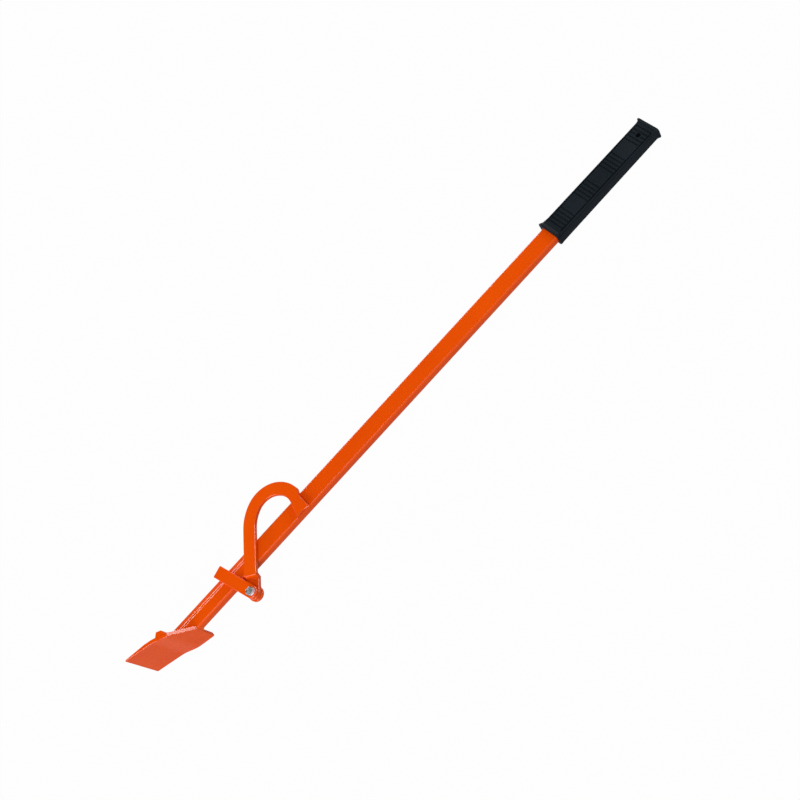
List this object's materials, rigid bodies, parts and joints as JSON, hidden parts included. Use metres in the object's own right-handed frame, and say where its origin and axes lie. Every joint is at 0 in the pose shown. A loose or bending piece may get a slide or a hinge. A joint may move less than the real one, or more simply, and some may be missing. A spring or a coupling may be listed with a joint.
{
  "type": "felling lever",
  "caption": "Long steel prying lever with a bent flat blade, a moulded hand grip and a swinging hook bolted in a clevis, for tipping and turning felled logs.",
  "frame": {"origin": "middle of the outline seen from above, on the plane that the blade's lower edge lies on", "axes": "+X along the tube from the blade to the grip, +Y across it towards the hook's arch, +Z out of the tube's front face, where the bolt head is"},
  "size_m": [1.3, 0.1452, 0.096],
  "materials": {
    "orange_paint": "glossy orange powder coat",
    "zinc_steel": "zinc-plated steel",
    "nylon": "plain nylon ring",
    "black_grip": "satin black moulding"
  },
  "bodies": {
    "lever": {"shaft_tube": "orange_paint", "blade": "orange_paint", "heel_bars": "orange_paint", "cross_bar": "orange_paint", "rear_clevis_plate": "orange_paint", "blade_welds": "orange_paint", "cross_bar_welds": "orange_paint", "rear_plate_weld": "orange_paint", "pivot_bolt": "zinc_steel", "head_washer": "zinc_steel", "nut_washer": "zinc_steel", "lock_nut": "zinc_steel", "nut_insert": "nylon", "grip": "black_grip"},
    "hook": {"turning_hook": "orange_paint"}
  },
  "joints": [
    {"name": "hook_pivot", "type": "hinge", "parent": "lever", "child": "hook", "pos_m": [-0.411, -0.05908, 0.0519], "axis": [0, 0, -1], "range_deg": [0, 195]}
  ]
}
